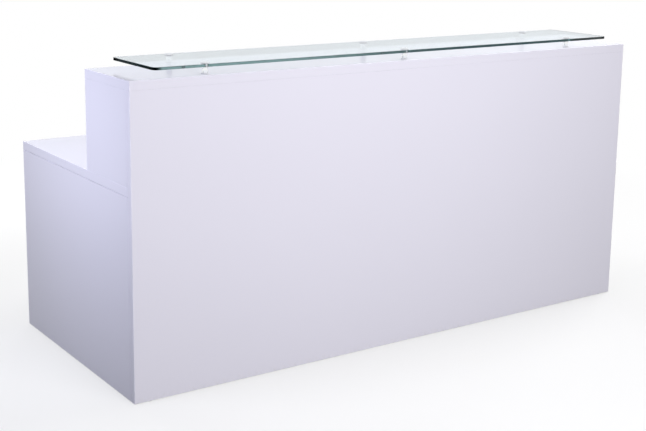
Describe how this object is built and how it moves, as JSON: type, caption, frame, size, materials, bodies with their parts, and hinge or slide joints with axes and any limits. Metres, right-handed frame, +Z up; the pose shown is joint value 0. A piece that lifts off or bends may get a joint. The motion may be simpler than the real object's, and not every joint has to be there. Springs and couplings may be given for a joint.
{
  "type": "reception desk",
  "caption": "Free-standing stepped reception desk of white gloss boards with a raised glass shelf on standoffs, open kneeholes and a lockable drawer unit on the staff side.",
  "frame": {"origin": "on the floor under the middle of the desk's outline", "axes": "+X along the desk, to the right of a visitor who faces it; +Y from the visitor's side to the staff side; +Z up"},
  "size_m": [2.3, 0.96, 1.141],
  "materials": {
    "gloss_lacquer": "white high-gloss lacquer on board, faintly cool",
    "melamine": "white satin melamine board",
    "clear_glass": "clear float glass with polished green edges",
    "polished_steel": "polished stainless steel",
    "zinc_steel": "zinc-plated steel strip",
    "grey_plastic": "grey nylon",
    "white_plastic": "white moulded plastic, fine satin"
  },
  "bodies": {
    "desk": {"front_panel": "gloss_lacquer", "left_end_panel": "gloss_lacquer", "right_end_panel": "gloss_lacquer", "middle_panel": "gloss_lacquer", "drawer_side_panel": "gloss_lacquer", "worktop": "gloss_lacquer", "counter_top": "gloss_lacquer", "left_counter_gable": "gloss_lacquer", "right_counter_gable": "gloss_lacquer", "middle_counter_divider": "gloss_lacquer", "drawer_counter_divider": "gloss_lacquer", "drawer_unit_back": "gloss_lacquer", "drawer_unit_base": "gloss_lacquer", "drawer_unit_plinth": "gloss_lacquer", "lock_rail": "gloss_lacquer", "standoff_front_left": "polished_steel", "standoff_cap_front_left": "polished_steel", "standoff_front_middle": "polished_steel", "standoff_cap_front_middle": "polished_steel", "standoff_front_right": "polished_steel", "standoff_cap_front_right": "polished_steel", "standoff_rear_left": "polished_steel", "standoff_cap_rear_left": "polished_steel", "standoff_rear_middle": "polished_steel", "standoff_cap_rear_middle": "polished_steel", "standoff_rear_right": "polished_steel", "standoff_cap_rear_right": "polished_steel", "glass_shelf": "clear_glass", "glide_front_left": "grey_plastic", "glide_front_right": "grey_plastic", "glide_left_end": "grey_plastic", "glide_right_end": "grey_plastic", "glide_middle": "grey_plastic", "glide_drawer_side": "grey_plastic", "runner_top_left": "zinc_steel", "runner_top_right": "zinc_steel", "runner_middle_left": "zinc_steel", "runner_middle_right": "zinc_steel", "runner_bottom_left": "zinc_steel", "runner_bottom_right": "zinc_steel", "grommet_ring_left": "white_plastic", "grommet_ring_right": "white_plastic"},
    "drawer_top": {"drawer_front_top": "gloss_lacquer", "drawer_box_top": "melamine", "slide_top_left": "zinc_steel", "slide_top_right": "zinc_steel", "lock_sleeve": "polished_steel"},
    "drawer_middle": {"drawer_front_middle": "gloss_lacquer", "drawer_box_middle": "melamine", "slide_middle_left": "zinc_steel", "slide_middle_right": "zinc_steel"},
    "drawer_bottom": {"drawer_front_bottom": "gloss_lacquer", "drawer_box_bottom": "melamine", "slide_bottom_left": "zinc_steel", "slide_bottom_right": "zinc_steel"},
    "lock_barrel": {"lock_plug": "polished_steel"},
    "cap_left": {"grommet_cap_left": "white_plastic"},
    "cap_right": {"grommet_cap_right": "white_plastic"}
  },
  "joints": [
    {"name": "drawer_top_slide", "type": "slide", "parent": "desk", "child": "drawer_top", "axis": [0, 1, 0], "range_m": [0, 0.35]},
    {"name": "drawer_middle_slide", "type": "slide", "parent": "desk", "child": "drawer_middle", "axis": [0, 1, 0], "range_m": [0, 0.35]},
    {"name": "drawer_bottom_slide", "type": "slide", "parent": "desk", "child": "drawer_bottom", "axis": [0, 1, 0], "range_m": [0, 0.35]},
    {"name": "lock_turn", "type": "hinge", "parent": "drawer_top", "child": "lock_barrel", "pos_m": [0.911, 0.44, 0.65], "axis": [0, 1, 0], "range_deg": [0, 90]},
    {"name": "cap_left_turn", "type": "hinge", "parent": "desk", "child": "cap_left", "pos_m": [-0.675, -0.05, 0.745], "axis": [0, 0, 1], "continuous": true},
    {"name": "cap_right_turn", "type": "hinge", "parent": "desk", "child": "cap_right", "pos_m": [0.25, -0.05, 0.745], "axis": [0, 0, 1], "continuous": true}
  ]
}
